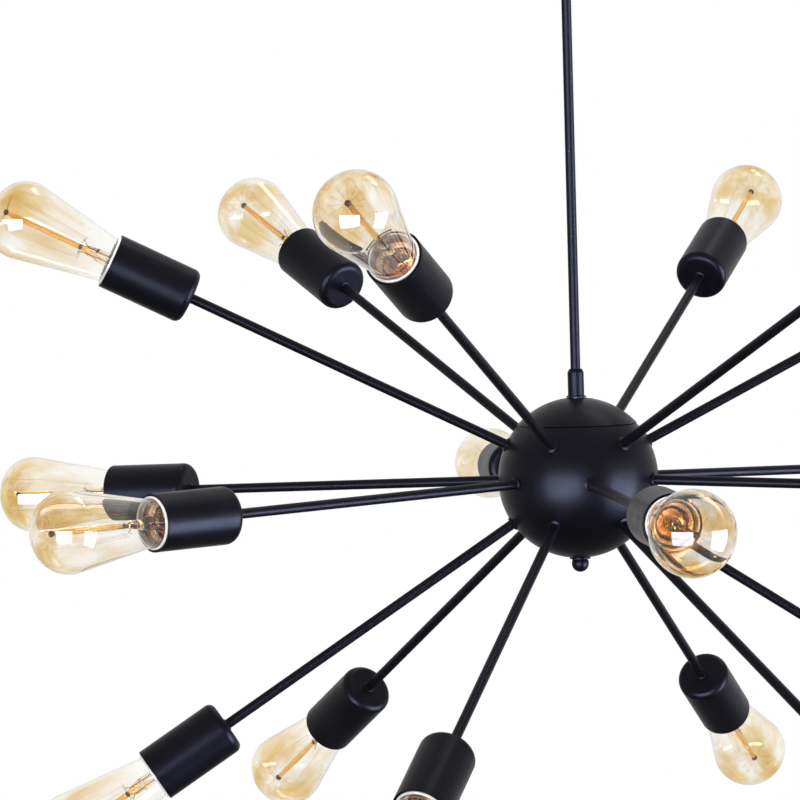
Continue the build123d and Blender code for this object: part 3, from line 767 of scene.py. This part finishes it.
def window(tree, direction, azimuth, elevation, width, height):
    """1 inside a bright rectangle of the room, 0 outside."""
    turn = math.radians(azimuth)
    to_window = -level * math.cos(turn) + side * math.sin(turn)
    across = level * math.sin(turn) + side * math.cos(turn)
    depth = toward(tree, direction, to_window)
    safe_depth = maths(tree, "MAXIMUM", depth, 0.01)
    x = maths(tree, "DIVIDE", toward(tree, direction, across), safe_depth)
    z = maths(tree, "DIVIDE", toward(tree, direction, (0, 0, 1)), safe_depth)
    z = maths(tree, "SUBTRACT", z, math.tan(math.radians(elevation)))
    inside = []
    for value, size in ((x, width), (z, height)):
        half = math.tan(math.radians(size / 2))
        inside.append(maths(tree, "LESS_THAN", maths(tree, "ABSOLUTE", value), half))
    front = maths(tree, "GREATER_THAN", depth, 0.0)
    return maths(tree, "MULTIPLY", maths(tree, "MULTIPLY", *inside), front)


def blend(tree, share, first, second):
    """first where share is 0, second where it is 1."""
    node = tree.nodes.new("ShaderNodeMix")
    for socket, value in zip(node.inputs[:1] + node.inputs[2:4], (share, first, second)):
        if isinstance(value, bpy.types.NodeSocket):
            tree.links.new(value, socket)
        else:
            socket.default_value = value
    return node.outputs["Result"]


def make_world():
    """Plain white for the eye and for dull surfaces, a room with windows for mirrored rays."""
    world = bpy.data.worlds.new("studio")
    bpy.context.scene.world = world
    world.use_nodes = True
    tree = world.node_tree
    light = tree.nodes["Background"]
    light.inputs["Color"].default_value = (1, 1, 1, 1)
    direction = tree.nodes.new("ShaderNodeTexCoord").outputs["Generated"]
    path = tree.nodes.new("ShaderNodeLightPath").outputs
    room = spread(tree, toward(tree, direction, level), room_front, room_back, -0.1, 0.75)
    shade = spread(tree, toward(tree, direction, (0, 0, 1)), room_low, 1.0, -0.7, -0.15)
    room = maths(tree, "MULTIPLY", room, shade)
    windows = maths(tree, "MULTIPLY", window(tree, direction, *ceiling_light), ceiling_share)
    for opening in (left_window, right_window):
        windows = maths(tree, "MAXIMUM", windows, window(tree, direction, *opening))
    shine = maths(tree, "MAXIMUM", room, maths(tree, "MULTIPLY", windows, window_light))
    plain = maths(tree, "MULTIPLY_ADD", windows, window_glow, room_light)
    seen = maths(tree, "MAXIMUM", path["Is Camera Ray"], path["Is Transmission Ray"])
    plain = blend(tree, seen, plain, 1.0)
    bounced = maths(tree, "GREATER_THAN", path["Glossy Depth"], 0.5)
    mirrored = maths(tree, "MULTIPLY", bounced, maths(tree, "SUBTRACT", 1.0, path["Is Diffuse Ray"]))
    tree.links.new(blend(tree, mirrored, plain, shine), light.inputs["Strength"])
    daylight = maths(tree, "MULTIPLY", mirrored, windows)
    tint = ramp(tree, daylight, (0.0, (1.0, 1.0, 1.0)), (1.0, window_tint))
    tree.links.new(tint, light.inputs["Color"])


def make_floor():
    """Round white floor whose shade fades into the background."""
    floor_height = -1.65
    floor_radius = 9.0
    fade_start, fade_end = 2.4, 0.6 * floor_radius

    def build(bm):
        bmesh.ops.create_circle(bm, cap_ends=True, segments=96, radius=floor_radius)

    material, tree, shader = new_material("white_floor", Roughness=0.7)
    mottle = noise(tree, 3.0, detail=4.0)
    tone = ramp(tree, mottle, (0.3, (0.86, 0.86, 0.86)), (0.7, (0.89, 0.89, 0.89)))
    tree.links.new(tone, shader.inputs["Base Color"])
    glow = tree.nodes.new("ShaderNodeEmission")
    distance = tree.nodes.new("ShaderNodeVectorMath")
    distance.operation = "LENGTH"
    tree.links.new(object_point(tree), distance.inputs[0])
    share = spread(tree, distance.outputs["Value"], 0.0, 1.0, fade_start, fade_end)
    mix = tree.nodes.new("ShaderNodeMixShader")
    tree.links.new(share, mix.inputs["Fac"])
    tree.links.new(shader.outputs["BSDF"], mix.inputs[1])
    tree.links.new(glow.outputs["Emission"], mix.inputs[2])
    tree.links.new(mix.outputs["Shader"], tree.nodes["Material Output"].inputs["Surface"])
    floor = new_object("floor", mesh_from("floor", build, material))
    floor.location.z = floor_height
    floor.visible_glossy = False


def make_overhead_lamp():
    """Soft lamp over the hub, which the eye, mirrors and glass don't see."""
    lamp = new_object("overhead_lamp", bpy.data.lights.new("overhead_lamp", "AREA"))
    lamp.data.shape = "DISK"
    lamp.data.size = overhead_size
    lamp.data.energy = overhead_power
    lamp.location = hub_centre + overhead_offset
    lamp.rotation_euler = (hub_centre - lamp.location).to_track_quat("-Z", "Y").to_euler()
    lamp.visible_camera = False
    lamp.visible_glossy = False
    lamp.visible_transmission = False


make_camera()
make_world()
make_floor()
make_overhead_lamp()
bpy.context.scene.view_settings.view_transform = "Standard"
